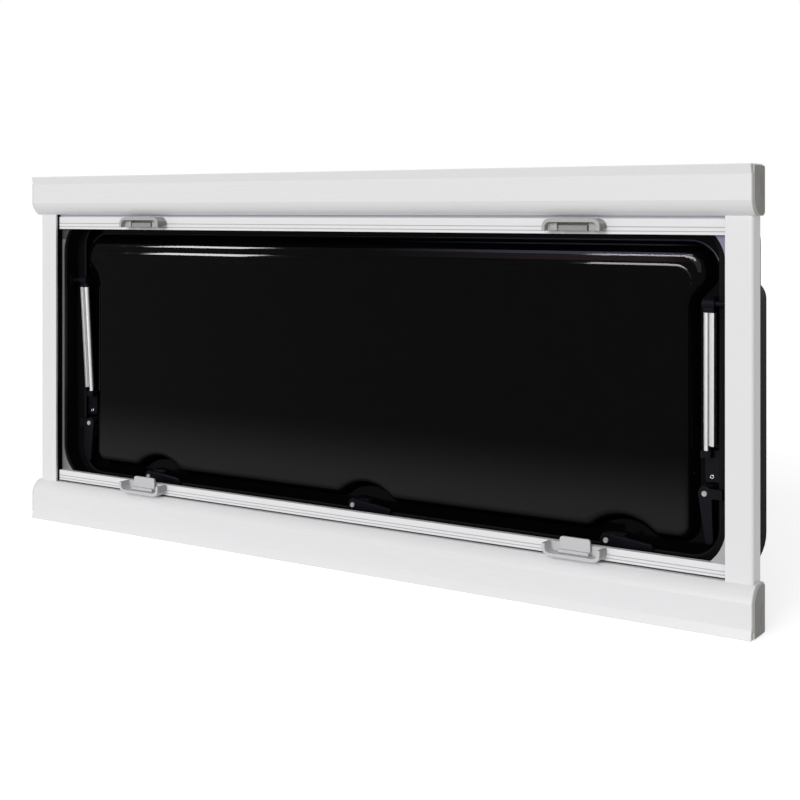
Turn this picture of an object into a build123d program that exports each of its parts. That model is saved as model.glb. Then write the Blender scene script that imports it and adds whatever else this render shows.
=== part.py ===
from build123d import *
import os

# Caravan window, millimetres. +X is to the right seen from indoors, +Y points outdoors, +Z is up.
# The origin is on the flange face that seals against the outer skin, in the middle of its lower leg.

# Wall and outer frame
wall_thickness = 26.0
aperture_width = 1212.0
aperture_height = 458.0
aperture_radius = 60.0
spigot_wall = 2.5
flange_reach = 26.0
flange_thickness = 3.0
stop_side_reach = 19.0
stop_end_reach = 9.0
stop_thickness = 2.0
stop_setback = 21.0

# Inner frame: two cassettes and two channels
cassette_height = 66.0
cassette_overhang = 3.0
cassette_wall = 2.0
face_depth = 42.0
lip_flare = 3.3
lip_edge = 1.0
cove_height = 12.0
round_height = 20.0
round_lean = 0.25
cloth_slot = 5.0
cap_thickness = 3.2
cap_plug = 10.0
cap_bevel_side = 1.9
cap_bevel_face = 4.5
cap_notch_depth = 3.5
cap_notch_height = 13.0
cap_short = 2.0
cap_corner = 2.0
cap_softening = 5.0
channel_width = 37.3
channel_depth = 26.0
channel_wall = 2.0
channel_round = 5.0
slot_lip = 6.0
slot_width = 9.0
slot_depth = 20.0

# Rim round the opening, behind the pull bars
rim_side = 4.4
rim_end = 5.0
rim_thickness = 7.4
rim_clearance = 0.2

# Pull bars
bar_wall = 1.5
bar_clearance = 0.3
bar_end_gap = 2.4
blind_bar_height = 21.0
blind_bar_drop = 4.0
screen_bar_height = 17.2
screen_bar_rise = 2.3
groove_width = 1.2
groove_depth = 0.7
groove_shares = (0.20, 0.47)
guide_reach = 18.0
guide_plug = 18.0
guide_trim = 2.0

# Handles on the bars
handle_inset = 207.5
handle_width = 88.0
handle_height = 17.2
handle_depth = 22.0
handle_wall = 5.0
handle_back = 2.0
handle_corner = 12.0
handle_edge = 1.0
handle_slant_height = 5.0
handle_slant_depth = 18.0
blind_handle_drop = 0.0
screen_handle_drop = 0.3
catch_width = 43.0
catch_height = 8.0
catch_depth = 13.0
catch_gap = 4.0
clip_width = 45.5
clip_height = 21.0
clip_thickness = 3.2
clip_gap = 0.8
clip_tab_depth = 6.0
clip_foot_height = 4.2
clip_foot_depth = 12.0
clip_corner = 4.0

# Sash: inner and outer sheet bonded together, a seal and a top hinge
seal_thickness = 2.0
seal_width = 6.0
seal_inset = 2.0
inner_sheet = 3.0
outer_sheet = 4.0
sash_side_overlap = 29.5
sash_top_overlap = 11.0
sash_bottom_overlap = 27.0
sash_top_radius = 40.0
sash_bottom_radius = 72.0
inner_margin = 7.0
bond_width = 20.0
panel_side_gap = 24.0
panel_top_gap = 30.0
panel_bottom_gap = 25.0
panel_radius = 40.0
panel_ear = 52.0
panel_step = 26.0
panel_step_radius = 26.0
panel_raise = 22.0
panel_taper = 28.0
panel_shoulder = 18.0
arch_width = 90.0
arch_height = 20.0
arch_shift = 24.0
bulge_top_drop = 79.0
bulge_top_radius = 26.0
bulge_depth = 29.0
bulge_round = 8.0
hinge_end = 95.5
hinge_bead = 6.0
hinge_clearance = 0.3
hinge_wall = 2.2
hinge_base = 2.5
hinge_base_height = 14.0
hinge_inset = 1.5
hinge_leaf = 2.0
hinge_leaf_height = 24.0

# Stays
stay_side_gap = 30.0
stay_pin_drop = 110.5
stay_pin_diameter = 7.0
stay_pin_setback = 10.0
stay_lean = 10.0
stay_side_lean = 4.0
stay_tube_width = 16.5
stay_tube_depth = 9.4
stay_tube_room = 281.0
stay_tube_corner = 3.0
stay_rail_width = 5.2
stay_rail_corner = 1.2
stay_web = 4.0
stay_bore_clearance = 0.3
stay_collar_length = 6.5
stay_rod_diameter = 6.0
stay_rod_room = 48.0
stay_rod_show = 16.0
stay_head_diameter = 14.0
stay_head_clearance = 0.2
stay_head_gap = 12.0
stay_plate_height = 20.0
stay_plate_depth = 13.0
stay_plate_thickness = 3.0
stay_foot_width = 22.0
stay_foot_height = 42.0
stay_foot_thickness = 4.0
stay_foot_offset = 6.0
stay_lug_width = 14.0
stay_lug_height = 9.0
stay_lug_over = 3.0

# Latches
side_latch_gap = 38.0
side_latch_rise = 96.0
bottom_latch_gap = 180.0
bottom_latch_rise = 16.5
latch_base_length = 34.0
latch_base_width = 16.0
latch_base_height = 10.4
latch_base_corner = 4.0
latch_base_shift = 8.0
latch_hub = 19.0
latch_thickness = 7.6
latch_arm_length = 62.0
latch_arm_drop = 5.0
latch_arm_tip = 12.0
latch_arm_thickness = 6.0
latch_arm_curl = 3.0
latch_tongue_width = 13.0
latch_tongue_overlap = 5.0
latch_tongue_gap = 0.5
latch_edge = 1.2
button_diameter = 9.0
button_proud = 2.5

# Places that follow from the sizes
centre_z = aperture_height / 2 + spigot_wall + flange_reach / 2
wall_in = -wall_thickness
channel_front = wall_in - channel_depth
face_y = wall_in - face_depth
channel_gap = aperture_width + 2 * rim_side
channel_height = aperture_height + 2 * rim_end
cassette_length = channel_gap + 2 * (channel_width + cassette_overhang)
slot_front = channel_front + slot_lip
slot_back = slot_front + slot_width
blind_edge = centre_z + channel_height / 2
screen_edge = centre_z - channel_height / 2
channel_inner = channel_gap / 2
channel_outer = channel_inner + channel_width
rim_back = slot_back + rim_thickness
spigot_width = aperture_width + 2 * spigot_wall
spigot_height = aperture_height + 2 * spigot_wall
spigot_radius = aperture_radius + spigot_wall
stop_face = wall_in + stop_setback
sash_face = flange_thickness + seal_thickness
bond_face = sash_face + inner_sheet
rim_face = bond_face + outer_sheet
bar_thickness = slot_width - 2 * bar_clearance
bar_y = (slot_front + slot_back) / 2
bar_front = slot_front + bar_clearance
bar_half = channel_inner - bar_end_gap
blind_bar_top = blind_edge - blind_bar_drop
screen_bar_bottom = screen_edge + screen_bar_rise
aperture_top = centre_z + aperture_height / 2
aperture_bottom = centre_z - aperture_height / 2
sash_width = aperture_width + 2 * sash_side_overlap
sash_top = aperture_top + sash_top_overlap
sash_bottom = aperture_bottom - sash_bottom_overlap
panel_top = aperture_top - panel_top_gap
panel_bottom = aperture_bottom + panel_bottom_gap
bulge_top = aperture_top - bulge_top_drop
hinge_length = sash_width - 2 * hinge_end
bottom_latch_spacing = aperture_width / 2 - bottom_latch_gap
arch_radius = (arch_width**2 / 4 + arch_height**2) / (2 * arch_height)

os.makedirs("parts", exist_ok=True)


def facing(y):
    """Plane at depth y that faces indoors, so that extrusions on it grow towards the room."""
    return Plane.XZ.offset(-y)


def save(piece, name):
    """Label one finished piece and write it to its own file."""
    piece.part.label = name
    export_step(piece.part, f"parts/{name}.step")


def cassette_outline(plane, edge, way):
    """Section of a cassette: edge is the height of its side towards the opening, way points to its lip."""
    shoulder = (face_y, edge + way * round_height)
    front = (channel_front, edge)
    tip = (face_y - lip_flare, edge + way * (cassette_height - lip_edge))
    cove = (face_y, tip[1] - way * cove_height)
    end = edge + way * cassette_height
    with BuildSketch(plane) as outline:
        with BuildLine():
            TangentArc(shoulder, front, tangent=(round_lean, -way))
            Line(shoulder, cove)
            Polyline(cove, tip, (tip[0], end), (wall_in, end), (wall_in, edge), front)
        make_face()
    return outline.sketch


def cassette_cavity(plane, edge, way, clearance):
    """Hollow of a cassette, drawn in by its wall and by a clearance for what plugs into it."""
    inset = cassette_wall + clearance
    shoulder = (face_y + inset, edge + way * round_height)
    front = (channel_front, edge + way * inset)
    end = edge + way * (cassette_height - inset)
    with BuildSketch(plane) as cavity:
        with BuildLine():
            TangentArc(shoulder, front, tangent=(round_lean, -way))
            Polyline(shoulder, (shoulder[0], end), (wall_in - inset, end), (wall_in - inset, front[1]), front)
        make_face()
    return cavity.sketch


def cap_outline(plane, edge, way):
    """End cap: the cassette's section without its lip, notched behind the cove."""
    shoulder = (face_y, edge + way * round_height)
    front = (channel_front, edge)
    end = edge + way * (cassette_height - cap_short)
    notch = edge + way * (cassette_height - cap_notch_height)
    notch_back = face_y + cap_notch_depth
    back_corner = (wall_in, edge + way * cap_corner)
    end_corner = (wall_in, end - way * cap_corner)
    with BuildSketch(plane) as outline:
        with BuildLine():
            TangentArc(shoulder, front, tangent=(round_lean, -way))
            Polyline(
                shoulder,
                (face_y, notch),
                (notch_back, notch + way * cap_notch_depth),
                (notch_back, end),
                (wall_in - cap_corner, end),
                end_corner,
                back_corner,
                (wall_in - cap_corner, edge),
                front,
            )
        make_face()
        fillet(outline.vertices().sort_by_distance((*shoulder, 0))[0], cap_softening)
    return outline.sketch


def rounded_panel(plane, width, top, bottom, top_radius, bottom_radius):
    """Outline across the window from bottom to top, with its own corner radii above and below."""
    with BuildSketch(plane) as outline:
        with Locations((0, (top + bottom) / 2)):
            Rectangle(width, top - bottom)
        fillet(outline.vertices().group_by(Axis.Y)[-1], top_radius)
        fillet(outline.vertices().group_by(Axis.Y)[0], bottom_radius)
    return outline.sketch


def raised_field(plane):
    """Raised field of the inner pane: ears, steps beside the stays and arches over the lower latches."""
    ear = aperture_width / 2 - panel_side_gap
    ear_low = panel_top - panel_ear
    right = [
        (ear, panel_top),
        (ear, ear_low),
        (ear - panel_step, ear_low - panel_step),
        (ear - panel_step, panel_bottom),
    ]
    with BuildSketch(plane) as outline:
        with BuildLine():
            Polyline(*right, *[(-x, z) for x, z in reversed(right)], close=True)
        make_face()
        with Locations((arch_shift, panel_bottom + arch_height - arch_radius)):
            with GridLocations(bottom_latch_spacing, 0, 3, 1):
                Circle(arch_radius, mode=Mode.SUBTRACT)
        steps = outline.vertices().group_by(Axis.Y)
        fillet(steps[-1], panel_radius)
        for height in (ear_low, ear_low - panel_step, panel_bottom):
            level = [corner for corner in outline.vertices() if abs(corner.Y - height) < rim_clearance]
            fillet(level, panel_step_radius)
    return outline.sketch


# Cassettes: hollow sections open in a slot towards the window, where the cloth comes out
for name, edge, way in (("blind", blind_edge, 1), ("screen", screen_edge, -1)):
    with BuildPart() as cassette:
        extrude(cassette_outline(Plane.YZ, edge, way), amount=cassette_length / 2, both=True)
        extrude(
            cassette_cavity(Plane.YZ, edge, way, 0),
            amount=cassette_length / 2,
            both=True,
            mode=Mode.SUBTRACT,
        )
        with BuildSketch(Plane.YZ):
            with Locations((bar_y, edge + way * cassette_wall / 2)):
                Rectangle(cloth_slot, cassette_wall)
        extrude(amount=bar_half, both=True, mode=Mode.SUBTRACT)
    save(cassette, f"{name}_cassette")

    # End caps: bevelled plates with a plug that fits the hollow
    for side_name, side in (("left", -1), ("right", 1)):
        end_plane = Plane.YZ.offset(side * cassette_length / 2)
        with BuildPart() as cap:
            extrude(cap_outline(end_plane, edge, way), amount=side * cap_thickness)
            outer_face = cap.faces().sort_by(Axis.X)[-1 if side > 0 else 0]
            front_edges = [
                edge_line
                for edge_line in outer_face.edges()
                if edge_line.center().Y < channel_front and edge_line.length > cap_notch_height
            ]
            chamfer(front_edges, cap_bevel_face, cap_bevel_side, reference=outer_face)
            extrude(cassette_cavity(end_plane, edge, way, bar_clearance), amount=-side * cap_plug)
        save(cap, f"{name}_cap_{side_name}")

# Side channels: hollow section with the slot that the bars run in
for side_name, side in (("left", -1), ("right", 1)):
    with BuildPart() as channel:
        with BuildSketch(Plane.XY.offset(screen_edge)) as section:
            with Locations((side * (channel_inner + channel_width / 2), wall_in - channel_depth / 2)):
                Rectangle(channel_width, channel_depth)
            front_corners = section.vertices().group_by(Axis.Y)[0].sort_by(Axis.X)
            fillet(front_corners[-1 if side > 0 else 0], channel_round)
            with Locations((side * (channel_inner + slot_depth / 2), bar_y)):
                Rectangle(slot_depth, slot_width, mode=Mode.SUBTRACT)
            side_room = channel_width - slot_depth - 2 * channel_wall
            side_middle = channel_outer - channel_wall - side_room / 2
            with Locations((side * side_middle, wall_in - channel_depth / 2)):
                RectangleRounded(
                    side_room,
                    channel_depth - 2 * channel_wall,
                    channel_round - channel_wall,
                    mode=Mode.SUBTRACT,
                )
            rear_room = wall_in - slot_back - 2 * channel_wall
            rear_middle = slot_back + channel_wall + rear_room / 2
            with Locations((side * (channel_inner + slot_depth / 2), rear_middle)):
                Rectangle(slot_depth - 2 * channel_wall, rear_room, mode=Mode.SUBTRACT)
        extrude(amount=channel_height)
    save(channel, f"channel_{side_name}")

# Rim: light grey plate with the rounded opening, between the channels and the cassettes
with BuildPart() as frame_rim:
    with BuildSketch(facing(rim_back)):
        with Locations((0, centre_z)):
            Rectangle(channel_gap - 2 * rim_clearance, channel_height - 2 * rim_clearance)
            RectangleRounded(aperture_width, aperture_height, aperture_radius, mode=Mode.SUBTRACT)
    extrude(amount=rim_thickness)
save(frame_rim, "frame_rim")

# Outer frame: spigot through the wall, flange on the outer skin and the stop that the latches hold
with BuildPart() as outer_frame:
    with BuildSketch(facing(flange_thickness)):
        with Locations((0, centre_z)):
            RectangleRounded(
                spigot_width + 2 * flange_reach,
                spigot_height + 2 * flange_reach,
                spigot_radius + flange_reach,
            )
            RectangleRounded(aperture_width, aperture_height, aperture_radius, mode=Mode.SUBTRACT)
    extrude(amount=flange_thickness)
    with BuildSketch(facing(0)):
        with Locations((0, centre_z)):
            RectangleRounded(spigot_width, spigot_height, spigot_radius)
            RectangleRounded(aperture_width, aperture_height, aperture_radius, mode=Mode.SUBTRACT)
    extrude(amount=-rim_back)
    with BuildSketch(facing(stop_face + stop_thickness)):
        with Locations((0, centre_z)):
            RectangleRounded(spigot_width, spigot_height, spigot_radius)
            RectangleRounded(
                aperture_width - 2 * stop_side_reach,
                aperture_height - 2 * stop_end_reach,
                aperture_radius - stop_side_reach,
                mode=Mode.SUBTRACT,
            )
    extrude(amount=stop_thickness)
save(outer_frame, "outer_frame")

# Pull bars: hollow, grooved in front, with a plastic guide in each end
for name, bar_low, bar_height in (
    ("blind", blind_bar_top - blind_bar_height, blind_bar_height),
    ("screen", screen_bar_bottom, screen_bar_height),
):
    bar_middle = bar_low + bar_height / 2
    with BuildPart() as bar:
        with BuildSketch(Plane.YZ):
            with Locations((bar_y, bar_middle)):
                Rectangle(bar_thickness, bar_height)
                Rectangle(bar_thickness - 2 * bar_wall, bar_height - 2 * bar_wall, mode=Mode.SUBTRACT)
            groove_heights = [bar_low + share * bar_height for share in groove_shares]
            with Locations(*[(bar_front + groove_depth / 2, height) for height in groove_heights]):
                Rectangle(groove_depth, groove_width, mode=Mode.SUBTRACT)
        extrude(amount=bar_half, both=True)
    save(bar, f"{name}_bar")

    with BuildPart() as guides:
        for side in (-1, 1):
            with BuildSketch(Plane.YZ.offset(side * bar_half)):
                with Locations((bar_y, bar_middle)):
                    Rectangle(bar_thickness, bar_height - 2 * guide_trim)
            extrude(amount=side * guide_reach)
            with BuildSketch(Plane.YZ.offset(side * bar_half)):
                with Locations((bar_y, bar_middle)):
                    Rectangle(
                        bar_thickness - 2 * bar_wall - bar_clearance,
                        bar_height - 2 * bar_wall - bar_clearance,
                    )
            extrude(amount=-side * guide_plug)
    save(guides, f"{name}_bar_guides")

# Handles: a bezel open on one side, the upper ones slanted below, with a catch plate or an upright clip
blind_handle_top = blind_bar_top - blind_handle_drop
screen_handle_low = screen_bar_bottom - screen_handle_drop
back_face = bar_front - handle_back
for side_name, side in (("left", -1), ("right", 1)):
    handle_x = side * (aperture_width / 2 - handle_inset)
    for name, closed_end, way in (("blind", blind_handle_top, 1), ("screen", screen_handle_low, -1)):
        with BuildPart() as handle:
            with BuildSketch(facing(bar_front)) as bezel:
                with Locations((handle_x, closed_end - way * handle_height / 2)):
                    Rectangle(handle_width, handle_height)
                fillet(bezel.vertices().group_by(Axis.Y)[-1 if way > 0 else 0], handle_corner)
            extrude(amount=handle_depth)
            front_face = handle.faces().sort_by(Axis.Y)[0]
            fillet(front_face.edges(), handle_edge)
            with BuildSketch(facing(back_face)) as recess:
                with Locations((handle_x, closed_end - way * (handle_wall + handle_height) / 2)):
                    Rectangle(handle_width - 2 * handle_wall, handle_height - handle_wall)
                fillet(recess.vertices().group_by(Axis.Y)[-1 if way > 0 else 0], handle_corner - handle_wall)
            extrude(amount=handle_depth, mode=Mode.SUBTRACT)
            if name == "blind":
                open_end = closed_end - handle_height
                slant = [
                    (bar_front - handle_slant_depth, open_end),
                    (bar_front, open_end),
                    (bar_front, open_end + handle_slant_height),
                ]
                with BuildSketch(Plane.YZ.offset(handle_x)):
                    with BuildLine():
                        Polyline(*slant, close=True)
                    make_face()
                extrude(amount=handle_width, both=True, mode=Mode.SUBTRACT)
        save(handle, f"{name}_handle_{side_name}")

    with BuildPart() as catch:
        with BuildSketch(facing(back_face)):
            catch_middle = blind_handle_top - handle_wall - catch_gap - catch_height / 2
            with Locations((handle_x, catch_middle)):
                Rectangle(catch_width, catch_height)
        extrude(amount=catch_depth)
        fillet(catch.faces().sort_by(Axis.Y)[0].edges(), handle_edge)
    save(catch, f"blind_catch_{side_name}")

    with BuildPart() as clip:
        clip_low = screen_handle_low + handle_wall + clip_gap
        with BuildSketch(facing(back_face)):
            with Locations((handle_x, clip_low + clip_foot_height / 2)):
                Rectangle(clip_width, clip_foot_height)
        extrude(amount=clip_foot_depth)
        with BuildSketch(facing(back_face - clip_tab_depth + clip_thickness)) as tab:
            with Locations((handle_x, clip_low + clip_height / 2)):
                Rectangle(clip_width, clip_height)
            fillet(tab.vertices().group_by(Axis.Y)[-1], clip_corner)
        extrude(amount=clip_thickness)
    save(clip, f"screen_clip_{side_name}")

# Seal: rubber ring between the flange and the sash
with BuildPart() as seal:
    with BuildSketch(facing(sash_face)):
        with Locations((0, centre_z)):
            RectangleRounded(
                aperture_width + 2 * (seal_inset + seal_width),
                aperture_height + 2 * (seal_inset + seal_width),
                aperture_radius + seal_inset + seal_width,
            )
            RectangleRounded(
                aperture_width + 2 * seal_inset,
                aperture_height + 2 * seal_inset,
                aperture_radius + seal_inset,
                mode=Mode.SUBTRACT,
            )
    extrude(amount=seal_thickness)
save(seal, "seal")

# Inner pane: flat border and a raised field with rounded shoulders, formed from one sheet
with BuildPart() as field_hollow:
    with BuildSketch(facing(bond_face)):
        add(raised_field(facing(bond_face)))
        offset(amount=-inner_sheet, mode=Mode.REPLACE)
    extrude(amount=panel_raise, taper=panel_taper)
    fillet(field_hollow.faces().sort_by(Axis.Y)[0].edges(), panel_shoulder - inner_sheet)

with BuildPart() as inner_pane:
    extrude(
        rounded_panel(
            facing(bond_face),
            sash_width - 2 * inner_margin,
            sash_top - inner_margin,
            sash_bottom + inner_margin,
            sash_top_radius - inner_margin,
            sash_bottom_radius - inner_margin,
        ),
        amount=inner_sheet,
    )
    extrude(raised_field(facing(sash_face)), amount=panel_raise, taper=panel_taper)
    fillet(inner_pane.faces().sort_by(Axis.Y)[0].edges(), panel_shoulder)
    add(field_hollow.part, mode=Mode.SUBTRACT)
save(inner_pane, "inner_pane")

# Outer pane: flat band under the hinge and a deep bulge below it
bulge_face = rim_face + bulge_depth
with BuildPart() as outer_pane:
    extrude(
        rounded_panel(
            facing(rim_face),
            sash_width,
            sash_top,
            sash_bottom,
            sash_top_radius,
            sash_bottom_radius,
        ),
        amount=outer_sheet,
    )
    extrude(
        rounded_panel(
            facing(bulge_face),
            sash_width,
            bulge_top,
            sash_bottom,
            bulge_top_radius,
            sash_bottom_radius,
        ),
        amount=bulge_depth,
    )
    fillet(outer_pane.faces().sort_by(Axis.Y)[-1].edges(), bulge_round)
    extrude(
        rounded_panel(
            facing(bulge_face - outer_sheet),
            sash_width - 2 * outer_sheet,
            bulge_top - outer_sheet,
            sash_bottom + outer_sheet,
            bulge_top_radius - outer_sheet,
            sash_bottom_radius - outer_sheet,
        ),
        amount=bulge_depth - outer_sheet,
        mode=Mode.SUBTRACT,
    )
    extrude(
        rounded_panel(
            facing(rim_face),
            sash_width - 2 * bond_width,
            bulge_top - outer_sheet,
            sash_bottom + bond_width,
            bulge_top_radius - outer_sheet,
            sash_bottom_radius - bond_width,
        ),
        amount=outer_sheet,
        mode=Mode.SUBTRACT,
    )
save(outer_pane, "outer_pane")

# Top hinge: a socket rail on the flange holds the bead of the strip on the sash
flange_top = centre_z + spigot_height / 2 + flange_reach
hinge_top = flange_top - hinge_inset
socket_radius = hinge_bead / 2 + hinge_clearance + hinge_wall
socket_y = flange_thickness + hinge_base - hinge_clearance + socket_radius
socket_z = hinge_top - socket_radius
with BuildPart() as hinge_rail:
    with BuildSketch(Plane.YZ):
        with Locations((flange_thickness + hinge_base / 2, hinge_top - hinge_base_height / 2)):
            Rectangle(hinge_base, hinge_base_height)
        with Locations((socket_y, socket_z)):
            Circle(socket_radius)
            Circle(hinge_bead / 2 + hinge_clearance, mode=Mode.SUBTRACT)
        with Locations((socket_y - hinge_leaf, socket_z)):
            Rectangle(2 * socket_radius, socket_radius, align=(Align.MIN, Align.MAX), mode=Mode.SUBTRACT)
    extrude(amount=hinge_length / 2, both=True)
save(hinge_rail, "hinge_rail")

with BuildPart() as hinge_strip:
    with BuildSketch(Plane.YZ):
        with Locations((socket_y, socket_z)):
            Circle(hinge_bead / 2)
        with BuildLine():
            Polyline(
                (socket_y - hinge_leaf / 2, socket_z),
                (socket_y + hinge_leaf / 2, socket_z),
                (rim_face + hinge_leaf, sash_top),
                (rim_face + hinge_leaf, sash_top - hinge_leaf_height),
                (rim_face, sash_top - hinge_leaf_height),
                (rim_face, sash_top),
                close=True,
            )
        make_face()
    extrude(amount=hinge_length / 2, both=True)
save(hinge_strip, "hinge_strip")

# Stays: a two-lobed tube that hangs from a pin on the frame, and a rod down to a foot on the sash
pin_y = wall_in + stay_pin_setback
pin_z = aperture_top - stay_pin_drop
stay_tube_length = aperture_height - stay_tube_room
stay_rod_length = stay_tube_length + stay_rod_show - stay_rod_room
stay_drop = stay_head_gap + stay_tube_length + stay_rod_show
stay_neck = stay_head_gap - (stay_head_diameter + stay_pin_diameter) / 4 - stay_head_clearance
lobe_shift = (stay_tube_width - stay_tube_depth) / 2
rail_shift = (stay_tube_width - stay_rail_width) / 2
for side_name, side in (("left", -1), ("right", 1)):
    wall_x = side * aperture_width / 2
    stay_x = wall_x - side * stay_side_gap
    stay_way = Vector(-side * stay_side_lean, stay_lean, -stay_drop).normalized()
    tube_top = Vector(stay_x, pin_y, pin_z) + stay_way * stay_head_gap
    tube_plane = Plane(tube_top, x_dir=(1, 0, 0), z_dir=stay_way)
    rod_plane = Plane(
        tube_plane.origin - tube_plane.x_dir * side * lobe_shift, x_dir=tube_plane.x_dir, z_dir=stay_way
    )
    rod_foot = rod_plane.offset(stay_tube_length + stay_rod_show)

    with BuildPart() as stay_tube:
        with BuildSketch(tube_plane):
            with Locations((-side * lobe_shift, 0)):
                Circle(stay_tube_depth / 2)
            with Locations((side * rail_shift, 0)):
                RectangleRounded(stay_rail_width, stay_tube_depth, stay_rail_corner)
            Rectangle(stay_tube_depth, stay_web)
            with Locations((-side * lobe_shift, 0)):
                Circle(stay_rod_diameter / 2 + stay_bore_clearance, mode=Mode.SUBTRACT)
        extrude(amount=stay_tube_length)
    save(stay_tube, f"stay_tube_{side_name}")

    with BuildPart() as stay_head:
        with BuildSketch(Plane.YZ.offset(stay_x - stay_tube_width / 2)):
            with Locations((pin_y, pin_z)):
                Circle(stay_head_diameter / 2)
                Circle(stay_pin_diameter / 2 + stay_head_clearance, mode=Mode.SUBTRACT)
        extrude(amount=stay_tube_width)
        with BuildSketch(rod_plane):
            Circle(stay_rod_diameter / 2)
        extrude(amount=stay_head_gap)
        with BuildSketch(tube_plane):
            RectangleRounded(stay_tube_width, stay_tube_depth, stay_tube_corner)
        extrude(amount=-stay_neck)
    save(stay_head, f"stay_head_{side_name}")

    with BuildPart() as stay_rod:
        with BuildSketch(rod_foot):
            Circle(stay_rod_diameter / 2)
        extrude(amount=-stay_rod_length)
        with BuildSketch(rod_plane.offset(stay_tube_length)):
            Circle(stay_tube_depth / 2)
        extrude(amount=stay_collar_length)
    save(stay_rod, f"stay_rod_{side_name}")

    with BuildPart() as frame_bracket:
        with BuildSketch(Plane.YZ.offset(wall_x)):
            with Locations((pin_y, pin_z)):
                RectangleRounded(stay_plate_depth, stay_plate_height, stay_tube_corner)
        extrude(amount=-side * stay_plate_thickness)
        with BuildSketch(Plane.YZ.offset(wall_x)):
            with Locations((pin_y, pin_z)):
                Circle(stay_pin_diameter / 2)
        extrude(amount=-side * (stay_side_gap + stay_tube_width / 2))
    save(frame_bracket, f"stay_frame_bracket_{side_name}")

    with BuildPart() as sash_bracket:
        rod_end = rod_foot.origin
        foot_top = rod_end.Z + stay_lug_height
        with BuildSketch(facing(sash_face)):
            with Locations((rod_end.X + side * stay_foot_offset, foot_top - stay_foot_height / 2)):
                RectangleRounded(stay_foot_width, stay_foot_height, stay_tube_corner)
        extrude(amount=stay_foot_thickness)
        with BuildSketch(facing(sash_face)):
            with Locations((rod_end.X, foot_top - stay_lug_height / 2)):
                Rectangle(stay_lug_width, stay_lug_height)
        extrude(amount=sash_face - rod_end.Y + stay_rod_diameter / 2 + stay_lug_over)
        with BuildSketch(rod_foot):
            Circle(stay_rod_diameter / 2 + stay_head_clearance)
        extrude(amount=-stay_rod_length, mode=Mode.SUBTRACT)
    save(sash_bracket, f"stay_sash_bracket_{side_name}")

# Latches: base on the sash, lever with a tongue over the frame's stop, round push button
hub_face = sash_face - latch_base_height
lever_face = hub_face - latch_thickness
tongue_back = stop_face - latch_tongue_gap
side_latch_x = aperture_width / 2 - side_latch_gap
side_latch_z = aperture_bottom + side_latch_rise
bottom_latch_z = aperture_bottom + bottom_latch_rise
side_tongue = side_latch_gap - stop_side_reach + latch_tongue_overlap
bottom_tongue = bottom_latch_rise - stop_end_reach + latch_tongue_overlap
latches = [
    ("left", -side_latch_x, side_latch_z, (0, 0, -1), -1, side_tongue),
    ("right", side_latch_x, side_latch_z, (0, 0, -1), 1, side_tongue),
    ("bottom_left", -bottom_latch_spacing, bottom_latch_z, (1, 0, 0), -1, bottom_tongue),
    ("bottom_middle", 0, bottom_latch_z, (1, 0, 0), -1, bottom_tongue),
    ("bottom_right", bottom_latch_spacing, bottom_latch_z, (1, 0, 0), -1, bottom_tongue),
]
for name, x, z, arm_way, tongue_side, tongue_length in latches:
    hub_plane = Plane((x, hub_face, z), x_dir=arm_way, z_dir=(0, -1, 0))
    front_plane = hub_plane.offset(latch_thickness)
    arm_dir = hub_plane.x_dir * latch_arm_length + hub_plane.y_dir * tongue_side * latch_arm_drop
    arm_plane = Plane(hub_plane.origin, x_dir=arm_dir, z_dir=hub_plane.z_dir)
    side_plane = Plane(arm_plane.origin, x_dir=arm_plane.x_dir, z_dir=-arm_plane.y_dir)
    tip_end = latch_arm_length + latch_arm_tip
    with BuildPart() as lever:
        with BuildSketch(arm_plane):
            Circle(latch_hub / 2)
            with Locations((latch_arm_length, 0)):
                Circle(latch_arm_tip / 2)
            make_hull()
        extrude(amount=latch_thickness)
        with BuildSketch(side_plane):
            with BuildLine():
                Line((-latch_hub, latch_thickness), (0, latch_thickness))
                TangentArc((0, latch_thickness), (tip_end, latch_thickness - latch_arm_curl), tangent=(1, 0))
                Polyline(
                    (tip_end, latch_thickness - latch_arm_curl),
                    (tip_end, latch_thickness - latch_arm_thickness - latch_arm_curl / 2),
                    (latch_hub / 2, latch_thickness - latch_arm_thickness),
                    (latch_hub / 2, 0),
                    (-latch_hub, 0),
                    (-latch_hub, latch_thickness),
                )
            make_face()
        extrude(amount=latch_arm_length, both=True, mode=Mode.INTERSECT)
        front_half = hub_face - latch_thickness / 2
        fillet([edge for edge in lever.edges() if edge.bounding_box().max.Y < front_half], latch_edge)
        with BuildSketch(front_plane):
            with Locations((0, tongue_side * tongue_length / 2)):
                Rectangle(latch_tongue_width, tongue_length)
        extrude(amount=-(tongue_back - lever_face))
    save(lever, f"latch_lever_{name}")

with BuildPart() as latch_bases:
    for name, x, z, arm_way, tongue_side, tongue_length in latches:
        with BuildSketch(Plane((x, sash_face, z), x_dir=arm_way, z_dir=(0, -1, 0))):
            with Locations((latch_base_shift, tongue_side * (latch_base_width - latch_hub) / 2)):
                RectangleRounded(latch_base_length, latch_base_width, latch_base_corner)
        extrude(amount=latch_base_height)
save(latch_bases, "latch_bases")

with BuildPart() as latch_buttons:
    for name, x, z, arm_way, tongue_side, tongue_length in latches:
        with BuildSketch(Plane((x, lever_face, z), x_dir=arm_way, z_dir=(0, -1, 0))):
            Circle(button_diameter / 2)
        extrude(amount=button_proud)
save(latch_buttons, "latch_buttons")
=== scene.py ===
import math
from collections import namedtuple
from functools import partial, reduce

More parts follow.
